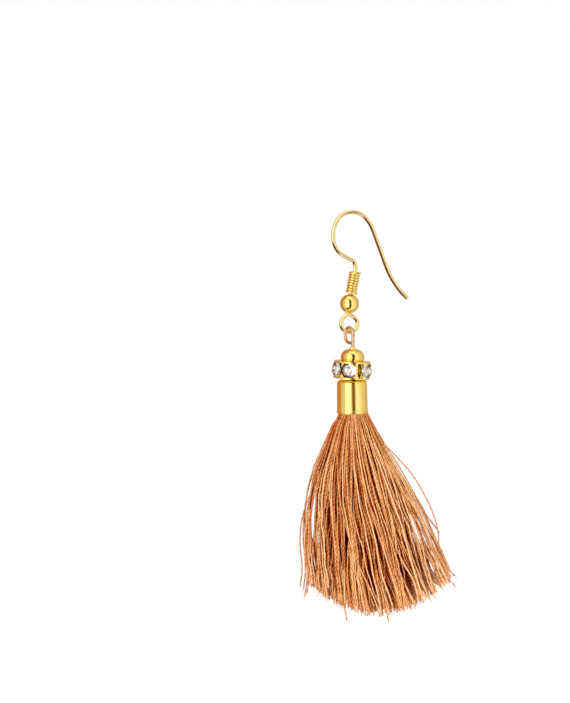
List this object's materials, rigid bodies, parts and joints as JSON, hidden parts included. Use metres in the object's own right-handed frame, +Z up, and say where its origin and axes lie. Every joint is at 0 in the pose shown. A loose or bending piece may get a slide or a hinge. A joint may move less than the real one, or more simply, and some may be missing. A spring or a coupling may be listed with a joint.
{
  "type": "tassel earring",
  "caption": "Drop earring with a gold-coloured fish-hook ear wire, a wrapped coil and bead, a crystal rondelle, a metal cap and a tan thread tassel.",
  "frame": {"origin": "underside of the wire at the top of the hook's arch, where the earring hangs in the ear", "axes": "+Z up, +X towards the open tail of the hook, +Y through the hook's plane, away from the viewer"},
  "size_m": [0.0213, 0.015, 0.0608],
  "materials": {
    "hook_wire": "polished, gold plated",
    "gold_bead": "polished, gold plated",
    "pin_wire": "satin, pale rose gold",
    "rondelle_metal": "polished, gold plated",
    "crystal": "clear, faceted",
    "cap_metal": "polished, gold plated",
    "thread": "twisted rayon thread with a soft sheen"
  },
  "bodies": {
    "hook": {"ear_hook": "hook_wire", "hook_coil": "hook_wire", "hook_bead": "gold_bead"},
    "drop": {"eye_pin": "pin_wire", "top_bead": "gold_bead", "rondelle": "rondelle_metal", "stone_1": "crystal", "stone_2": "crystal", "stone_3": "crystal", "stone_4": "crystal", "stone_5": "crystal", "stone_6": "crystal", "stone_7": "crystal", "cap": "cap_metal", "tassel": "thread"}
  },
  "joints": [
    {"name": "drop_swing", "type": "hinge", "parent": "hook", "child": "drop", "pos_m": [-0.00043, 0, -0.01795], "axis": [1, 0, 0], "range_deg": [-90, 90]}
  ]
}
